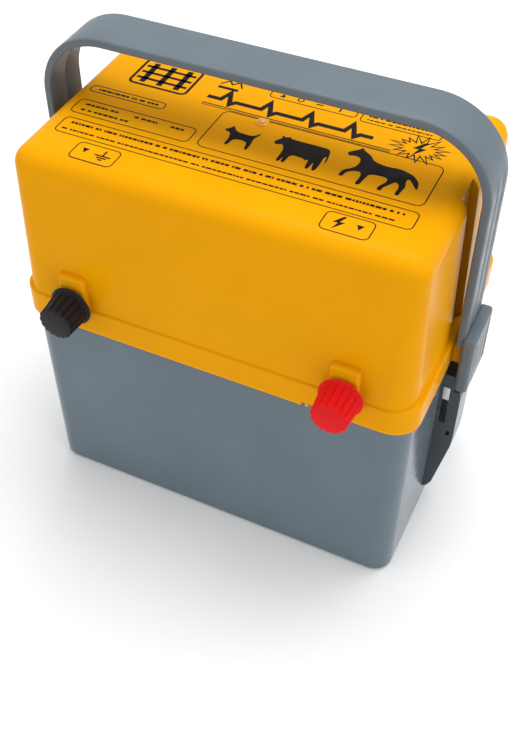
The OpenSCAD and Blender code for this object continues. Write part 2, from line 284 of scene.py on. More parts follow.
def soft_rubber(name, base):
    m = Nodes(name)
    tone = m.mix_colours(m.ramp(m.noise(60), 0, 1), scaled(base, 0.8), scaled(base, 1.4))
    m.link(tone, m.shader.inputs["Base Color"])
    m.link(m.ramp(m.noise(500), 0.62, 0.85), m.shader.inputs["Roughness"])
    m.bump([(m.noise(1800, 3), 0.3, 0.00005)])
    return m.mat


def wound_wire(name, base):
    """Enamelled copper, as fine rings round the coil's core."""
    m = Nodes(name)
    wave = m.tree.nodes.new("ShaderNodeTexWave")
    wave.bands_direction = "Z"
    wave.inputs["Scale"].default_value = 700
    wave.inputs["Distortion"].default_value = 0.4
    m.link(m.coords, wave.inputs["Vector"])
    tone = m.mix_colours(wave.outputs["Fac"], scaled(base, 0.35), scaled(base, 1.2))
    m.link(tone, m.shader.inputs["Base Color"])
    m.shader.inputs["Metallic"].default_value = 0.7
    m.link(m.ramp(m.noise(400), 0.25, 0.45), m.shader.inputs["Roughness"])
    m.bump([(wave.outputs["Fac"], 0.6, 0.0003)])
    return m.mat


def circuit_laminate(name, base):
    """Solder mask over copper tracks."""
    m = Nodes(name)
    cells = m.tree.nodes.new("ShaderNodeTexVoronoi")
    cells.distance = "MANHATTAN"
    cells.feature = "DISTANCE_TO_EDGE"
    cells.inputs["Scale"].default_value = 180
    m.link(m.coords, cells.inputs["Vector"])
    track = m.tree.nodes.new("ShaderNodeMapRange")
    track.inputs["From Max"].default_value = 0.08
    track.inputs["To Min"].default_value = 1
    track.inputs["To Max"].default_value = 0
    m.link(cells.outputs["Distance"], track.inputs["Value"])
    tone = m.mix_colours(track.outputs["Result"], base, scaled(base, 2.1))
    m.link(tone, m.shader.inputs["Base Color"])
    m.link(m.ramp(m.noise(300), 0.22, 0.4), m.shader.inputs["Roughness"])
    m.bump([(track.outputs["Result"], 0.3, 0.00004)])
    return m.mat


# slot: roughness, orange peel, broad waves, gloss, colour drift
MOULDED = {
    "tub_plastic": (0.13, 0.06, 0.2, 0.14),
    "lid_plastic": (0.2, 0.06, 0.2, 0.025, 0.03),
    "handle_plastic": (0.36, 0.02, 0.15, 0.2),
    "tray_plastic": (0.5, 0.3),
    "capacitor_sleeve": (0.3,),
    "component_black": (0.4, 0.3),
    "lens_amber": (0.08, 0.03, 0.05, 0.5),
    "catch_plastic": (0.2, 0.1, 0.1),
    "switch_plastic": (0.35, 0.3),
    "knob_black": (0.25, 0.1, 0.1, 0.12),
    "knob_red": (0.25, 0.1, 0.1, 0.06, 0.05),
}
# slot: roughness, and True for lines that run round a turned part
METALS = {"plated_steel": (0.25, True), "contact_brass": (0.22,), "core_steel": (0.45,)}
OTHERS = {"seal_rubber": soft_rubber, "board_laminate": circuit_laminate,
          "copper_winding": wound_wire}


def make_materials():
    base = {slot: tuple(colour[:3]) for slot, colour in BASE.items()}
    found = {slot: moulded_plastic(slot, base[slot], *look) for slot, look in MOULDED.items()}
    found.update({slot: plain_metal(slot, base[slot], *look) for slot, look in METALS.items()})
    found.update({slot: make(slot, base[slot]) for slot, make in OTHERS.items()})
    return found


MATERIALS = make_materials()


# ---- mesh helpers ----
def piece(name, points, faces, material, sharp=32.0):
    """A mesh from millimetre points, smooth but for edges steeper than sharp degrees."""
    mesh = bpy.data.meshes.new(name)
    mesh.from_pydata([tuple(c * MM for c in p) for p in points], [], faces)
    work = bmesh.new()
    work.from_mesh(mesh)
    bmesh.ops.remove_doubles(work, verts=work.verts, dist=0.002 * MM)
    bmesh.ops.dissolve_degenerate(work, edges=work.edges, dist=0.001 * MM)
    bmesh.ops.recalc_face_normals(work, faces=work.faces)
    work.to_mesh(mesh)
    work.free()
    obj = bpy.data.objects.new(name, mesh)
    bpy.context.scene.collection.objects.link(obj)
    mesh.shade_smooth()
    mesh.set_sharp_from_angle(angle=math.radians(sharp))
    mesh.materials.append(material)
    return obj


def weighted(obj):
    modifier = obj.modifiers.new("even_shading", "WEIGHTED_NORMAL")
    modifier.keep_sharp = True
    return obj


def block(name, low, high, radius, material, steps=3):
    """A box with rounded edges."""
    xs, ys, zs = zip(low, high)
    points = [(x, y, z) for x in xs for y in ys for z in zs]
    faces = [(0, 1, 3, 2), (4, 6, 7, 5), (0, 4, 5, 1), (2, 3, 7, 6), (0, 2, 6, 4), (1, 5, 7, 3)]
    obj = piece(name, points, faces, material, 60)
    work = bmesh.new()
    work.from_mesh(obj.data)
    bmesh.ops.bevel(work, geom=list(work.edges), offset=radius * MM, segments=steps,
                    profile=0.5, affect="EDGES")
    work.to_mesh(obj.data)
    work.free()
    obj.data.shade_smooth()
    return weighted(obj)


def joined(name, parts):
    """One piece from several, which keeps the first one's material."""
    work = bmesh.new()
    depsgraph = bpy.context.evaluated_depsgraph_get()
    for part in parts:
        work.from_mesh(part.evaluated_get(depsgraph).to_mesh())
    mesh = bpy.data.meshes.new(name)
    work.to_mesh(mesh)
    work.free()
    mesh.materials.append(parts[0].data.materials[0])
    for part in parts:
        bpy.data.objects.remove(part)
    obj = bpy.data.objects.new(name, mesh)
    bpy.context.scene.collection.objects.link(obj)
    mesh.shade_smooth()
    mesh.set_sharp_from_angle(angle=math.radians(40))
    return obj


def cut(obj, cutter):
    """Takes the cutter's shape out of obj and removes the cutter."""
    modifier = obj.modifiers.new("cut", "BOOLEAN")
    modifier.object = cutter
    modifier.operation = "DIFFERENCE"
    modifier.solver = "EXACT"
    depsgraph = bpy.context.evaluated_depsgraph_get()
    mesh = bpy.data.meshes.new_from_object(obj.evaluated_get(depsgraph))
    obj.modifiers.remove(modifier)
    obj.data = mesh
    bpy.data.objects.remove(cutter)
    mesh.shade_smooth()
    mesh.set_sharp_from_angle(angle=math.radians(40))
    return obj


def bands(rows, steps, start=0):
    """Quads between rows of points, where each row is a closed loop of steps points."""
    faces = []
    for i in range(rows - 1):
        low = start + i * steps
        for k in range(steps):
            n = (k + 1) % steps
            faces.append((low + k, low + n, low + steps + n, low + steps + k))
    return faces


def lathe(name, centre, profile, material, steps=64, wobble=None, sharp=32.0):
    """Turns (depth along -Y, radius) pairs round a line through centre = (x, z).

    wobble(angle, index) is taken off the radius, for ribs and grooves."""
    cx, cz = centre
    points = []
    for i, (depth, radius) in enumerate(profile):
        for k in range(steps):
            a = 2 * math.pi * k / steps
            r = max(0.0, radius - (wobble(a, i) if wobble else 0.0))
            points.append((cx + r * math.cos(a), -depth, cz + r * math.sin(a)))
    return piece(name, points, bands(len(profile), steps), material, sharp)


def upright(name, centre, profile, material, steps=48, sharp=32.0):
    """Turns (height, radius) pairs round a vertical line through centre = (x, y)."""
    cx, cy = centre
    points = []
    for height, radius in profile:
        for k in range(steps):
            a = 2 * math.pi * k / steps
            points.append((cx + radius * math.cos(a), cy + radius * math.sin(a), height))
    return piece(name, points, bands(len(profile), steps), material, sharp)


def arc(radius, start, end, steps):
    """Offsets (across, up) of a quarter round, angles in degrees."""
    found = []
    for i in range(steps + 1):
        a = math.radians(start + (end - start) * i / steps)
        found.append((radius * math.cos(a), radius * math.sin(a)))
    return found


# ---- moulded shells ----
def lines(limit, extra, step=12.0):
    """Grid lines from -limit to limit: evenly spread, with extra ones where detail needs them."""
    count = max(2, round(2 * limit / step))
    even = [-limit + 2 * limit * i / count for i in range(count + 1)]
    marks = sorted(e for e in extra if -limit < e < limit)
    kept = [e for e in even if abs(e) == limit or all(abs(e - m) > 1.5 for m in marks)]
    return sorted(set(kept + marks))


def shell(name, core, xs, ys, rings, material, shape, hole=None, corner_steps=10, sharp=30.0):
    """Lofts rings (half length, half width, height, outer) round a rectangle core.

    The rings run from the inside's top to the outside's end, and both ends are closed.
    shape(x, y, z, inside) moves a point, and cells inside hole stay open through both ends."""
    a, b = core
    split = next(i for i, r in enumerate(rings) if r[3])
    stations = [(x, -b, 0, -1) for x in xs]
    angles = [math.radians(-90 + 90 * i / corner_steps) for i in range(1, corner_steps)]
    stations += [(a, -b, math.cos(t), math.sin(t)) for t in angles]
    stations += [(a, y, 1, 0) for y in ys]
    stations += [(a, b, -math.sin(t), math.cos(t)) for t in angles]
    stations += [(x, b, 0, 1) for x in reversed(xs)]
    stations += [(-a, b, -math.cos(t), -math.sin(t)) for t in angles]
    stations += [(-a, y, -1, 0) for y in reversed(ys)]
    stations += [(-a, -b, math.sin(t), -math.cos(t)) for t in angles]
    points = []
    for i, (hx, hy, z, _) in enumerate(rings):
        for px, py, ux, uy in stations:
            points.append(shape(px + ux * (hx - a), py + uy * (hy - b), z, i < split))
    n = len(stations)
    faces = bands(len(rings), n)
    for z in (rings[0][2], rings[-1][2]):
        start = len(points)
        points += [(x, y, z) for y in ys for x in xs]
        w = len(xs)
        for j in range(len(ys) - 1):
            for i in range(w - 1):
                mid = ((xs[i] + xs[i + 1]) / 2, (ys[j] + ys[j + 1]) / 2)
                if hole and hole[0] < mid[0] < hole[1] and hole[2] < mid[1] < hole[3]:
                    continue
                p = start + j * w + i
                faces.append((p, p + 1, p + w + 1, p + w))
    if hole:
        start = len(points)
        x0, x1, y0, y1 = hole
        inner = [x for x in xs if x0 <= x <= x1]
        side = [y for y in ys if y0 <= y <= y1]
        loop = [(x, y0) for x in inner] + [(x1, y) for y in side[1:]]
        loop += [(x, y1) for x in reversed(inner[:-1])] + [(x0, y) for y in reversed(side[1:-1])]
        for z in (rings[0][2], rings[-1][2]):
            points += [(x, y, z) for x, y in loop]
        faces += bands(2, len(loop), start)
    return weighted(piece(name, points, faces, material, sharp))


def channel_floor(z):
    """How far out the side channel's floor stands at height z."""
    return CHANNEL_TOP_X + CHANNEL_LEAN * (TOP_Z - z) / (TOP_Z - FLANGE_TOP)


def lid_shape(x, y, z, inside):
    """Cuts the side channels and the two notches in the lid's lower edge."""
    t = WALL if inside else 0.0
    if z > FLANGE_TOP - (WALL if inside else 0.01) and abs(y) <= CHANNEL_Y + 0.01:
        limit = channel_floor(z) - t
        if abs(x) > limit and abs(x) < FLANGE_X - 2.2:
            x = math.copysign(limit, x)
    if not inside and z <= SPLIT_Z + NOTCH_H and y < -CORE_Y - 5:
        for start in NOTCHES:
            if start + 0.05 < x < start + NOTCH_W - 0.05:
                y += NOTCH_D
    return x, y, z


def side_angles():
    """Angles of the top round, with one just where the channel's floor meets it."""
    meet = math.degrees(math.acos((CHANNEL_TOP_X - CORE_X) / TOP_R))
    return sorted([7.5 * i for i in range(13)] + [meet])


def make_lid():
    ixr = TOP_R - WALL
    rings = [(CORE_X, CORE_Y, TOP_Z - WALL, False)]
    rings += [(CORE_X + dx, CORE_Y + dx, ARC_Z + dz, False) for dx, dz in arc(ixr, 80, 0, 7)]
    for k in range(1, 8):
        f = k / 7
        z = ARC_Z + (SHOULDER_Z - ARC_Z) * f
        rings.append((TOP_X - WALL + (LID_X - TOP_X) * f, TOP_Y - WALL + (LID_Y - TOP_Y) * f,
                      z, False))
    rings += [(FLANGE_X - WALL, FLANGE_Y - WALL, SHOULDER_Z, False)]
    rings += [(FLANGE_X - WALL, FLANGE_Y - WALL, SPLIT_Z + 0.4, False)]
    rings += [(FLANGE_X - WALL + 0.4, FLANGE_Y - WALL + 0.4, SPLIT_Z, False)]
    rings += [(FLANGE_X - 0.5, FLANGE_Y - 0.5, SPLIT_Z, True)]
    rings += [(FLANGE_X, FLANGE_Y, SPLIT_Z + 0.5, True)]
    rings += [(FLANGE_X, FLANGE_Y, z, True)
              for z in (SPLIT_Z + NOTCH_H - 0.05, SPLIT_Z + NOTCH_H + 0.05)]
    rings += [(FLANGE_X - 1.2 + dx, FLANGE_Y - 1.2 + dx, FLANGE_TOP - 1.2 + dz, True)
              for dx, dz in arc(1.2, 0, 90, 5)]
    rings += [(LID_X + 0.7 - dx, LID_Y + 0.7 - dx, FLANGE_TOP + 0.7 - dz, True)
              for dx, dz in arc(0.7, 90, 0, 4)]
    for k in range(1, 10):
        f = k / 9
        rings.append((LID_X - (LID_X - TOP_X) * f, LID_Y - (LID_Y - TOP_Y) * f,
                      FLANGE_TOP + 0.7 + (ARC_Z - FLANGE_TOP - 0.7) * f, True))
    for a in side_angles()[1:]:
        t = math.radians(a)
        rings.append((CORE_X + TOP_R * math.cos(t), CORE_Y + TOP_R * math.cos(t),
                      ARC_Z + TOP_R * math.sin(t), True))
    notches = [s + d for s in NOTCHES for d in (0.0, 0.1, NOTCH_W - 0.1, NOTCH_W)]
    xs = lines(CORE_X, notches + [WELL[0], WELL[1]])
    ys = lines(CORE_Y, [s * (CHANNEL_Y + d) for s in (-1, 1) for d in (0, 0.35)]
               + [WELL[2], WELL[3]], 9.0)
    lid = shell("lid_case", (CORE_X, CORE_Y), xs, ys, rings, MATERIALS["lid_plastic"],
                lid_shape, WELL)
    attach(lid, "lid")
    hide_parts("lid_shell")


def make_pads_and_trunnions():
    """The flat pads under the terminals, and the blocks that the handle turns on."""
    yellow = MATERIALS["lid_plastic"]
    for side, word in ((-1, "earth"), (1, "fence")):
        x = side * TERM_X
        low = (x - PAD_W / 2, -PAD_Y, PAD_Z0)
        pad = block("pad_" + word, low, (x + PAD_W / 2, -LID_Y + 2.2, PAD_Z1), 1.9, yellow, 5)
        cut(pad, bored("pad_bore", (x, TERM_Z), PAD_BORE_R, PAD_Y + 2, 60))
        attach(pad, "lid")
    for side, word in ((-1, "left"), (1, "right")):
        ends = sorted((side * BOSS_X0, side * BOSS_X1))
        base = block("trunnion_" + word, (ends[0], -BOSS_W / 2, PIVOT_Z - BOSS_LOW),
                     (ends[1], BOSS_W / 2, PIVOT_Z + BOSS_HIGH), 0.9, yellow)
        pin = side_pin("pin_" + word, side, PIN_X0, PIN_X1, PIN_R, yellow)
        whole = joined("trunnion_" + word + "_block", [base, pin])
        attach(whole, "lid")


def bored(name, centre, radius, y0, y1):
    """A plain rod along Y, used only to cut a bore."""
    ends = [(y0, 0), (y0, radius), (y1, radius), (y1, 0)]
    return lathe(name, centre, ends, MATERIALS["lid_plastic"], 48)


def side_pin(name, side, x0, x1, radius, material, steps=48):
    """A round pin along X with a chamfered end."""
    profile = [(x0, 0), (x0, radius), (x1 - 0.6, radius), (x1, radius - 0.6), (x1, 0)]
    points = []
    for x, r in profile:
        for k in range(steps):
            a = 2 * math.pi * k / steps
            points.append((side * x, r * math.cos(a), PIVOT_Z + r * math.sin(a)))
    return piece(name, points, bands(len(profile), steps), material)


def make_tub():
    a, b = RIM_X - RIM_ROUND, RIM_Y - RIM_ROUND

    def side(z):
        """How far the wall has come in at height z."""
        return TUB_DRAFT * (RIM_Z - z) / RIM_Z

    inner = [(a, b, 4.2, False)]
    inner += [(RIM_X - side(6) - WALL - 4 + dx, RIM_Y - side(6) - WALL - 4 + dx, 8.2 - dz, False)
              for dx, dz in arc(4, 85, 0, 6)]
    for z in (40, 80, 120, RIM_Z - 0.5):
        inner.append((RIM_X - side(z) - WALL, RIM_Y - side(z) - WALL, z, False))
    inner.append((RIM_X - WALL + 0.5, RIM_Y - WALL + 0.5, RIM_Z, False))
    outer = [(RIM_X - 0.5, RIM_Y - 0.5, RIM_Z, True), (RIM_X, RIM_Y, RIM_Z - 0.5, True)]
    for z in (120, 90, 60, 30, FOOT_R):
        outer.append((RIM_X - side(z), RIM_Y - side(z), z, True))
    foot_x, foot_y = RIM_X - side(FOOT_R) - FOOT_R, RIM_Y - side(FOOT_R) - FOOT_R
    outer += [(foot_x + dx, foot_y + dx, FOOT_R - dz, True)
              for dx, dz in arc(FOOT_R, 0, 90, 6)]
    outer += [(foot_x - 5, foot_y - 5, 0, True), (foot_x - 6, foot_y - 6, 0.8, True),
              (a, b, 0.8, True)]
    tub = shell("tub_case", (a, b), lines(a, []), lines(b, []), inner + outer,
                MATERIALS["tub_plastic"], lambda x, y, z, inside: (x, y, z))
    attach(tub, "case")
    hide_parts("tub")


# ---- handle ----
def handle_path():
    """(x, z, inward x, inward z, groove depth share) along the handle's outer face."""
    bend_z = HANDLE_TOP - BEND_R
    bend_x = BAND_X - BEND_R
    stations = []
    for i in range(9):
        z = ARM_Z0 + (bend_z - ARM_Z0) * i / 8
        stations.append((BAND_X, z, -1, 0, 1.0))
    for i in range(1, 25):
        t = math.radians(90 * i / 24)
        stations.append((bend_x + BEND_R * math.cos(t), bend_z + BEND_R * math.sin(t),
                         -math.cos(t), -math.sin(t), max(0.0, 1 - i / 4)))
    for i in range(1, 6):
        stations.append((bend_x * (1 - i / 6), HANDLE_TOP, 0, -1, 0.0))
    mirrored = [(-x, z, -nx, nz, g) for x, z, nx, nz, g in reversed(stations)]
    return stations + [(0, HANDLE_TOP, 0, -1, 0.0)] + mirrored


def band_section(groove):
    """(depth inwards, y) round the band: soft outer edges, two grooves and a crease inside."""
    half = BAND_W / 2
    r_out, r_in = 1.3, 0.7
    section = [(r_out - v, -half + r_out - u) for u, v in arc(r_out, 0, 90, 4)]
    for y in (-5.0, 5.0):
        section += [(0, y - 0.9), (0.45 * groove, y - 0.4), (0.45 * groove, y + 0.4), (0, y + 0.9)]
    section += [(r_out - v, half - r_out + u) for u, v in arc(r_out, 90, 0, 4)]
    section += [(BAND_T - r_in + v, half - r_in + u) for u, v in arc(r_in, 0, 90, 3)]
    section += [(BAND_T, 0.8), (BAND_T - 0.25, 0), (BAND_T, -0.8)]
    section += [(BAND_T - r_in + v, -half + r_in - u) for u, v in arc(r_in, 90, 0, 3)]
    return section


def make_handle():
    points = []
    path = handle_path()
    for x, z, nx, nz, groove in path:
        points += [(x + nx * d, y, z + nz * d) for d, y in band_section(groove)]
    n = len(band_section(0))
    faces = bands(len(path), n)
    last = (len(path) - 1) * n
    faces += [tuple(range(n - 1, -1, -1)), tuple(range(last, last + n))]
    grey = MATERIALS["handle_plastic"]
    parts = [piece("band", points, faces, grey)]
    for side in (-1, 1):
        ends = sorted((side * HEAD_X0, side * HEAD_X1))
        head = block("head", (ends[0], -HEAD_D / 2, HEAD_Z0), (ends[1], HEAD_D / 2, HEAD_Z1),
                     2.2, grey, 4)
        for y in HEAD_LINES:
            cutter = block("line", (side * HEAD_X1 - 0.5, y - 0.4, HEAD_Z0 + 5),
                           (side * HEAD_X1 + 0.5, y + 0.4, HEAD_Z1 - 5), 0.1, grey, 1)
            cut(head, cutter)
        cut(head, side_pin("bore", side, 118, PIN_X1 + 0.4, PIN_R + 0.15, grey))
        parts.append(head)
    handle = joined("carry_band", parts)
    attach(handle, "carry_handle")
    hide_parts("handle")


# ---- terminals ----
def rib_depth(angle):
    """Narrow grooves between broad ribs."""
    place = (angle * RIBS / (2 * math.pi)) % 1.0
    return 1.1 * math.exp(-((place - 0.5) / 0.19) ** 2)


def knob_profile():
    """(depth, radius, ribbed) from the base's bore out to the crowned end."""
    rows = [(KNOB_BORE_Y, 0, 0), (KNOB_BORE_Y, KNOB_BORE_R, 0),
            (KNOB_Y0 + 0.4, KNOB_BORE_R, 0), (KNOB_Y0, 5.5, 0)]
    rows += [(KNOB_Y0, KNOB_R - 0.4, 0), (KNOB_Y0 + 0.3, KNOB_R, 0), (KNOB_Y0 + 1.0, KNOB_R, 0)]
    rows += [(KNOB_Y0 + 1.5, KNOB_R - 0.4, 0), (KNOB_Y0 + 1.7, 11.5, 0.3)]
    rows += [(KNOB_Y0 + 2.2 + 1.9 * i, 11.4 - 0.16 * i, 1) for i in range(7)]
    rows += [(KNOB_Y1 - 1.6 + 1.1 * math.sin(math.radians(t)),
              9.3 + 1.1 * math.cos(math.radians(t)), 1 - t / 200) for t in (0, 20, 40, 60, 80, 90)]
    rows += [(KNOB_Y1 - 0.45, 8.6, 0.35), (KNOB_Y1 - 0.35, 7.6, 0), (KNOB_Y1 - 0.2, 5.2, 0),
             (KNOB_Y1 - 0.05, 2.6, 0), (KNOB_Y1, 0, 0)]
    return rows


def make_knob(side, word, slot):
    rows = knob_profile()
    knob = lathe("grip_" + word, (side * TERM_X, TERM_Z), [(d, r) for d, r, _ in rows],
                 MATERIALS[slot], 160, lambda a, i: rows[i][2] * rib_depth(a), 42)
    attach(knob, word + "_knob")
    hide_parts("knob_" + word)


def make_washer(side, word):
    y0, y1, r, bore = WASHER_Y0, WASHER_Y1, WASHER_R, WASHER_BORE_R
    profile = [(y0 + 0.05, bore), (y0, bore + 0.2), (y0, r - 0.3), (y0 + 0.25, r),
               (y1 - 0.25, r), (y1, r - 0.3), (y1, bore + 0.2), (y1 - 0.05, bore),
               (y0 + 0.05, bore)]
    washer = lathe("ring_" + word, (side * TERM_X, TERM_Z), profile, MATERIALS["plated_steel"], 96)
    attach(washer, word + "_clamp")
    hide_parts("washer_" + word)


def make_stud(side, word):
    """A threaded rod: the thread is one helix."""
    y0, y1, steps, per_turn = STUD_Y0, STUD_Y1, 24, 8
    rows = int((y1 - y0) * per_turn)
    cx, cz = side * TERM_X, TERM_Z
    points = [(cx, -y0, cz)]
    for i in range(rows + 1):
        depth = y0 + (y1 - y0) * i / rows
        for k in range(steps):
            a = 2 * math.pi * k / steps
            tooth = abs(((depth / THREAD_PITCH - a / (2 * math.pi)) % 1.0) - 0.5) * 2
            end = min(1.0, (y1 - depth) / 0.8, (depth - y0) / 0.5)
            r = STUD_R - THREAD_D * tooth - 0.4 * (1 - end)
            points.append((cx + r * math.cos(a), -depth, cz + r * math.sin(a)))
    faces = bands(rows + 1, steps, 1)
    faces += [(0, 1 + (k + 1) % steps, 1 + k) for k in range(steps)]
    tip = len(points)
    points.append((cx, -y1, cz))
    s = 1 + rows * steps
    faces += [(tip, s + k, s + (k + 1) % steps) for k in range(steps)]
    stud = piece("thread_" + word, points, faces, MATERIALS["plated_steel"], 60)
    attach(stud, "lid")
    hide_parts("stud_" + word)


def make_lens():
    low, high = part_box("indicator_lens")
    z0, z1 = low[2] / MM, high[2] / MM
    profile = [(z0, 0), (z0, 2.9), (TOP_Z + 0.05, 2.9), (TOP_Z + 0.05, 3.6), (TOP_Z + 0.5, 3.6),
               (TOP_Z + 0.7, 3.2)]
    profile += [(TOP_Z + 0.7 + (z1 - TOP_Z - 0.7) * math.sin(math.radians(t)),
                 2.8 * math.cos(math.radians(t))) for t in (0, 20, 40, 60, 80, 90)]
    lens = upright("indicator_dome", LENS, profile, MATERIALS["lens_amber"])
    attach(lens, "lid")
    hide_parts("indicator_lens")


# ---- printed panel ----
class Print:
    """Flat ink shapes on the lid's top, gathered into one mesh."""

    def __init__(self, height):
        self.z = height
        self.points = []
        self.faces = []

    def fill(self, outline):
        start = len(self.points)
        self.points += [(x, y, self.z) for x, y in outline]
        flat = [Vector((x, y, 0)) for x, y in outline]
        self.faces += [tuple(start + i for i in t) for t in tessellate_polygon([flat])]

    def stroke(self, path, width=0.45, closed=False):
        n = len(path)
        left, right = [], []
        for i, p in enumerate(path):
            before = path[(i - 1) % n] if closed or i else p
            after = path[(i + 1) % n] if closed or i < n - 1 else p
            d1 = Vector((p[0] - before[0], p[1] - before[1]))
            d2 = Vector((after[0] - p[0], after[1] - p[1]))
            d1 = d1.normalized() if d1.length > 1e-9 else d2.normalized()
            d2 = d2.normalized() if d2.length > 1e-9 else d1
            normal = Vector((-(d1 + d2).y, (d1 + d2).x))
            normal = normal.normalized() if normal.length > 1e-6 else Vector((-d1.y, d1.x))
            reach = width / 2 / max(0.4, normal.dot(Vector((-d1.y, d1.x))))
            left.append((p[0] + normal.x * reach, p[1] + normal.y * reach, self.z))
            right.append((p[0] - normal.x * reach, p[1] - normal.y * reach, self.z))
        start = len(self.points)
        self.points += left + right
        for i in range(n if closed else n - 1):
            j = (i + 1) % n
            self.faces.append((start + i, start + j, start + n + j, start + n + i))

    def frame(self, x0, x1, y0, y1, r=2.5, width=0.6):
        path = []
        corners = ((x1 - r, y1 - r, 0), (x0 + r, y1 - r, 90), (x0 + r, y0 + r, 180),
                   (x1 - r, y0 + r, 270))
        for cx, cy, start in corners:
            path += [(cx + u, cy + v) for u, v in arc(r, start, start + 90, 5)]
        self.stroke(path, width, True)

    def arrow_down(self, x, y, size=3.8):
        self.fill([(x - size / 2, y + size / 2), (x, y - size / 2), (x + size / 2, y + size / 2)])

    def bolt(self, x, y, size):
        shape = ((0.15, 1), (-0.55, -0.05), (-0.05, 0), (-0.35, -1), (0.55, 0.2), (0.05, 0.15),
                 (0.45, 1))
        self.fill([(x + u * size, y + v * size) for u, v in shape])

    def earth(self, x, y, size):
        self.stroke([(x, y + size), (x, y)], 1.0)
        for k, half in enumerate((1.0, 0.62, 0.26)):
            drop = y - k * size * 0.36
            self.stroke([(x - half * size, drop), (x + half * size, drop)], 1.0)

    def ring(self, x, y, r, width=0.5):
        self.stroke([(x + r * math.cos(i * math.pi / 12), y + r * math.sin(i * math.pi / 12))
                     for i in range(24)], width, True)

    def dashes(self, x0, x1, y, width=0.8):
        """A row of plain dashes that stands for a line of writing."""
        x = x0
        while x < x1 - 1.5:
            end = min(x1, x + RNG.uniform(1.0, 3.2))
            self.stroke([(x, y), (end, y)], width)
            x = end + RNG.choice((0.5, 0.5, 0.5, 1.7))


# Animals as (x, y) outlines from nose to tail and back, feet on y = 0.
DOG = ((0, 5.6), (1.2, 6.6), (1.6, 7.7), (2.2, 6.8), (3.4, 5.6), (7.6, 5.4), (8.7, 6), (9.8, 7.4),
       (9.6, 6), (8.8, 4.8), (9.2, 2.2), (9.2, 0), (8.3, 0), (8.1, 2), (7.2, 3), (3.9, 2.8),
       (3.5, 0), (2.5, 0), (2.7, 2.4), (1.9, 4.8), (0.2, 5))
COW = ((0.2, 6.1), (0.6, 7.3), (1.5, 8.2), (1.1, 9.3), (2.2, 8.8), (3.5, 9.5), (3.5, 8.7),
       (13.6, 8.8), (14.9, 8.2), (15.6, 4), (15.3, 3.2), (14.8, 6.2), (14.3, 5), (14.5, 3.2),
       (14.3, 0), (13.3, 0), (12.7, 3.2), (12.4, 0), (11.5, 0), (11.2, 3.4), (10.4, 2.6),
       (9.7, 3.2), (6.2, 3.4), (6, 0), (5.1, 0), (4.9, 2.2), (4.6, 0), (3.7, 0), (3.8, 4.2),
       (2.7, 6.3), (0.9, 5.5))
HORSE = ((0.2, 8.3), (0.4, 9.1), (1.8, 10.3), (2.3, 11.3), (2.9, 10.4), (4.4, 9.6), (5.6, 8),
         (8.2, 7.4), (10.8, 7.8), (12.4, 7.3), (13.6, 6.9), (15.2, 5.2), (15.6, 2.6), (14.4, 4.2),
         (13.2, 5.6), (12.9, 4.6), (13.4, 3), (13, 0.6), (13.1, 0), (12.2, 0), (12.4, 2.6),
         (11.4, 3.8), (10.6, 2.6), (9.7, 1), (9.8, 0.1), (8.9, 0.1), (8.9, 1.2), (9.9, 3.2),
         (9.4, 4.3), (6.2, 4), (5.9, 2.2), (5.6, 0), (4.7, 0), (5, 2.4), (4.6, 3.9), (3.2, 3.7),
         (2.1, 2.6), (1.9, 1.2), (1.1, 1.3), (1.3, 3.2), (3, 4.7), (3.4, 6.4), (3, 8), (1.6, 8.2),
         (0.9, 7.8))


def softened(outline, rounds=2):
    """Rounds an outline's corners by cutting each one back."""
    for _ in range(rounds):
        cutback = []
        for i, (x, y) in enumerate(outline):
            nx, ny = outline[(i + 1) % len(outline)]
            cutback += [(0.78 * x + 0.22 * nx, 0.78 * y + 0.22 * ny),
                        (0.22 * x + 0.78 * nx, 0.22 * y + 0.78 * ny)]
        outline = cutback
    return outline


def placed(outline, x0, x1, y0, tall):
    """An outline scaled to the width x0..x1 with its feet on y0, and its height by tall."""
    left = min(p[0] for p in outline)
    k = (x1 - x0) / (max(p[0] for p in outline) - left)
    return [(x0 + (x - left) * k, y0 + y * k * tall) for x, y in outline]


def print_animals(ink):
    ink.frame(-27, 96, -26, 9, 4)
    for outline, x0, x1, y0, tall in ((DOG, -19, 0, -19, 1.15), (COW, 9, 40, -21, 1.15),
                                      (HORSE, 47, 89, -22.5, 0.98)):
        ink.fill(placed(softened(outline), x0, x1, y0, tall))


def print_terminal_signs(ink):
    """The earth sign and the lightning sign, each with an arrow to its terminal."""
    ink.frame(-82, -57, -62, -48, 3)
    ink.arrow_down(-76, -54)
    ink.earth(-65, -55, 4.6)
    ink.frame(56, 81, -61, -47, 3)
    ink.bolt(64, -54, 5.4)
    ink.arrow_down(74.5, -53.5)


def print_tables(ink):
    """Framed rows of dashes along the front and at the left."""
    ink.frame(-101, 97, -45, -31, 3)
    ink.dashes(-96, 92, -34.9, 1.7)
    ink.dashes(-98, 88, -41.2, 1.2)
    ink.frame(-103, -32, -26, -13, 3)
    for x0, x1 in ((-98, -78), (-68, -53), (-46, -37)):
        ink.dashes(x0, x1, -16.9, 1.5)
    ink.dashes(-98, -66, -22.2, 1.5)


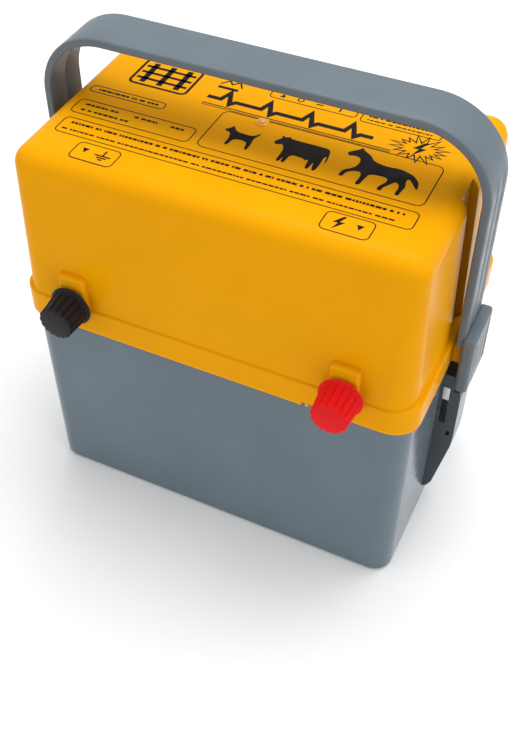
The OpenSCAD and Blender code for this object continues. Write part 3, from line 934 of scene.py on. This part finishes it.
def print_title(ink):
    """A fence picture and a pulse line, in place of words."""
    ink.frame(-89, -54, 13, 38, 3, 1.6)
    for x in (-82, -71.5, -61):
        ink.stroke([(x, 15.5), (x, 35.5)], 3.4)
    for y in (19.5, 25.5, 31.5):
        ink.stroke([(-87, y), (-56, y)], 2.0)
    ink.frame(-104, -58, -4.5, 1.5, 2.5)
    ink.dashes(-99, -62, -1.5, 1.6)
    beat = ((0, 0), (8, 0), (10.5, 7.5), (14.5, -3), (17, 0), (24, 0))
    for k in range(4):
        x0 = -42 + 24 * k
        ink.stroke([(x0 + u, 18 + v) for u, v in beat], 3.0)
    for y, wide in ((11.5, 0.7), (9.9, 0.5)):
        ink.stroke([(-42, y), (66, y)], wide)
    ink.stroke([(-41, 29), (-29, 29)], 2.2)
    ink.stroke([(-41, 32), (-37, 36.5), (-34.5, 33.5), (-31, 37), (-28, 32)], 1.0)


def print_burst(ink, x=79, y=18.5, spikes=17):
    path = []
    for k in range(spikes * 2):
        a = math.pi * k / spikes
        r = RNG.uniform(7.6, 9.0) if k % 2 else RNG.uniform(12, 17.5)
        path.append((x + r * math.cos(a), y + 0.72 * r * math.sin(a)))
    ink.stroke(path, 0.8, True)
    ink.bolt(x, y, 6.5)


def print_switch_scale(ink):
    """Four plain marks for the switch's positions, and a note beside them."""
    ink.frame(-11.5, 38.5, 31.5, 38.6, 2)
    ink.fill([(-6, 33.6), (-2.6, 33.6), (-4.3, 36.8)])
    ink.ring(6, 35.1, 1.6, 0.7)
    ink.stroke([(15, 35.1), (19, 35.1)], 1.0)
    ink.stroke([(29, 33.4), (29, 36.8)], 1.0)
    ink.frame(41.5, 86, 30, 38.6, 2)
    ink.dashes(45, 83, 36, 1.0)
    ink.dashes(45, 83, 32.8, 1.0)


def make_print():
    ink = Print(TOP_Z + 0.06)
    print_terminal_signs(ink)
    print_tables(ink)
    print_animals(ink)
    print_title(ink)
    print_burst(ink)
    print_switch_scale(ink)
    paint = moulded_plastic("panel_ink", (0.006, 0.004, 0.003), 0.5, 0.1, 0.0, 0.1)
    obj = piece("panel_print", ink.points, ink.faces, paint, 180)
    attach(obj, "lid")


# ---- CAD nodes that are kept ----
KEPT_SLOTS = {
    "side_catches": "catch_plastic", "gasket": "seal_rubber", "inner_tray": "tray_plastic",
    "tray_screws": "plated_steel", "circuit_board": "board_laminate",
    "board_pillars": "tray_plastic", "board_screws": "plated_steel",
    "transformer_core": "core_steel", "transformer_coil": "copper_winding",
    "storage_capacitor": "capacitor_sleeve", "board_parts": "component_black",
    "switch_housing": "switch_plastic", "switch_rocker": "switch_plastic",
    "terminal_nuts": "plated_steel", "strap_earth": "contact_brass",
    "strap_fence": "contact_brass", "insert_earth": "contact_brass",
    "insert_fence": "contact_brass", "battery_tabs": "contact_brass",
}
ROUNDED = {"side_catches": 0.9, "switch_housing": 0.4, "switch_rocker": 0.4, "inner_tray": 0.4,
           "transformer_core": 0.5, "transformer_coil": 0.6, "storage_capacitor": 0.8,
           "circuit_board": 0.1, "battery_tabs": 0.15, "board_parts": 0.25}


def finish_cad_nodes():
    for name, slot in KEPT_SLOTS.items():
        obj = frame["nodes"][name]
        obj.data.materials.clear()
        obj.data.materials.append(MATERIALS[slot])
        if name in ROUNDED:
            bevel = obj.modifiers.new("soft_edges", "BEVEL")
            bevel.width = ROUNDED[name] * MM
            bevel.segments = 3
            bevel.limit_method = "ANGLE"
            bevel.angle_limit = math.radians(40)
            bevel.harden_normals = True


def make_rocker_marks():
    """Small raised bars on the rocker, so that its position can be felt."""
    low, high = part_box("switch_rocker")
    mid_x = (low[0] + high[0]) / 2 / MM
    mid_y = (low[1] + high[1]) / 2 / MM
    top = high[2] / MM
    bars = []
    for x in (mid_x - 1.4, mid_x + 1.4):
        bars.append(block("bar", (x - 0.5, mid_y - 3, top - 1.9),
                          (x + 0.5, mid_y + 3, top - 0.45), 0.2, MATERIALS["tray_plastic"], 2))
    marks = joined("rocker_bars", bars)
    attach(marks, "rocker")


def make_floor():
    half = 3.0
    mesh = bpy.data.meshes.new("floor")
    mesh.from_pydata([(-half, -half, -0.0003), (half, -half, -0.0003), (half, half, -0.0003),
                      (-half, half, -0.0003)], [], [(0, 1, 2, 3)])
    floor = bpy.data.objects.new("floor", mesh)
    bpy.context.scene.collection.objects.link(floor)
    m = Nodes("pale_floor")
    tone = m.mix_colours(m.ramp(m.noise(3), 0, 1), (0.93, 0.93, 0.93), (0.96, 0.96, 0.96))
    m.link(tone, m.shader.inputs["Base Color"])
    m.shader.inputs["Roughness"].default_value = 0.8
    m.shader.inputs["Specular IOR Level"].default_value = 0.1
    mesh.materials.append(m.mat)


make_camera()
make_studio()
make_floor()
make_tub()
make_lid()
make_pads_and_trunnions()
make_handle()
for side, word, slot in ((-1, "earth", "knob_black"), (1, "fence", "knob_red")):
    make_knob(side, word, slot)
    make_washer(side, word)
    make_stud(side, word)
make_lens()
make_print()
finish_cad_nodes()
make_rocker_marks()
